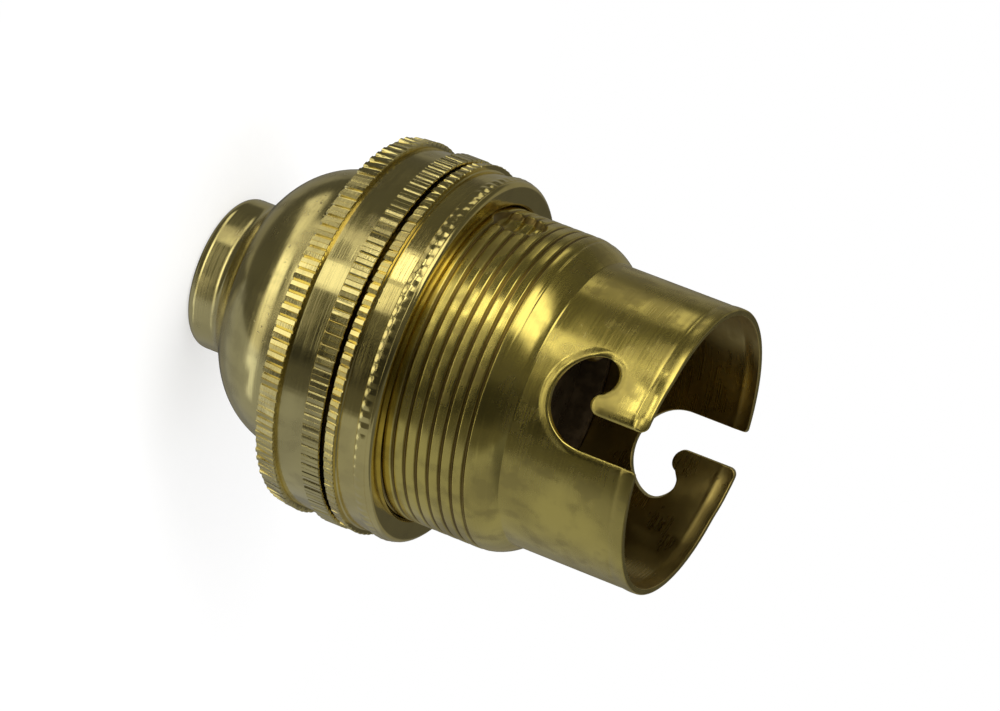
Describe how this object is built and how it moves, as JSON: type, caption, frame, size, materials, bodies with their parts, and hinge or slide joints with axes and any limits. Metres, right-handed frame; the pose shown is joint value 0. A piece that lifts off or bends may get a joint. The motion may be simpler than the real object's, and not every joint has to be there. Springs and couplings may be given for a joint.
{
  "type": "lamp holder",
  "caption": "Brass bayonet lamp holder with a domed cap, plain neck, knurled flange, separate knurled shade ring, threaded skirt and slotted barrel with sprung contacts",
  "frame": {"origin": "centre of the neck's end face, which the holder stands on", "axes": "+Z along the axis towards the lamp's mouth; the J slots open at -Y and +Y"},
  "size_m": [0.0312, 0.0312, 0.0424],
  "materials": {
    "brass": "polished, lacquered",
    "brass_inner": "turned",
    "phenolic": "moulded, satin",
    "steel": "zinc plated",
    "spring_steel": "drawn wire"
  },
  "bodies": {
    "cap_body": {"cap": "brass", "earth_plate": "brass_inner", "earth_washer": "brass_inner"},
    "earth_screw_body": {"earth_screw": "brass_inner"},
    "barrel": {"skirt": "brass", "insulator_body": "phenolic", "insulator_base": "phenolic", "insulator_screw": "steel", "insulator_nut": "steel", "insulator_washer": "steel", "terminal_a": "brass_inner", "terminal_b": "brass_inner", "spring_a": "spring_steel", "spring_b": "spring_steel"},
    "shade_ring_body": {"shade_ring": "brass"},
    "plunger_a_body": {"plunger_a": "brass_inner"},
    "plunger_b_body": {"plunger_b": "brass_inner"},
    "terminal_screw_a_body": {"terminal_screw_a": "steel"},
    "terminal_screw_b_body": {"terminal_screw_b": "steel"}
  },
  "joints": [
    {"name": "barrel_unscrew", "type": "slide", "parent": "cap_body", "child": "barrel", "axis": [0, 0, 1], "range_m": [0, 0.015]},
    {"name": "shade_ring_run", "type": "slide", "parent": "barrel", "child": "shade_ring_body", "axis": [0, 0, 1], "range_m": [0, 0.0255]},
    {"name": "plunger_a_press", "type": "slide", "parent": "barrel", "child": "plunger_a_body", "axis": [0, 0, -1], "range_m": [0, 0.0045], "stiffness_N_per_m": 1500, "deforming": ["spring_a"]},
    {"name": "plunger_b_press", "type": "slide", "parent": "barrel", "child": "plunger_b_body", "axis": [0, 0, -1], "range_m": [0, 0.0045], "stiffness_N_per_m": 1500, "deforming": ["spring_b"]},
    {"name": "terminal_screw_a_loosen", "type": "slide", "parent": "barrel", "child": "terminal_screw_a_body", "axis": [0, 0, -1], "range_m": [0, 0.0015]},
    {"name": "terminal_screw_b_loosen", "type": "slide", "parent": "barrel", "child": "terminal_screw_b_body", "axis": [0, 0, -1], "range_m": [0, 0.0015]},
    {"name": "earth_screw_loosen", "type": "slide", "parent": "cap_body", "child": "earth_screw_body", "axis": [0, 0, 1], "range_m": [0, 0.002]}
  ]
}
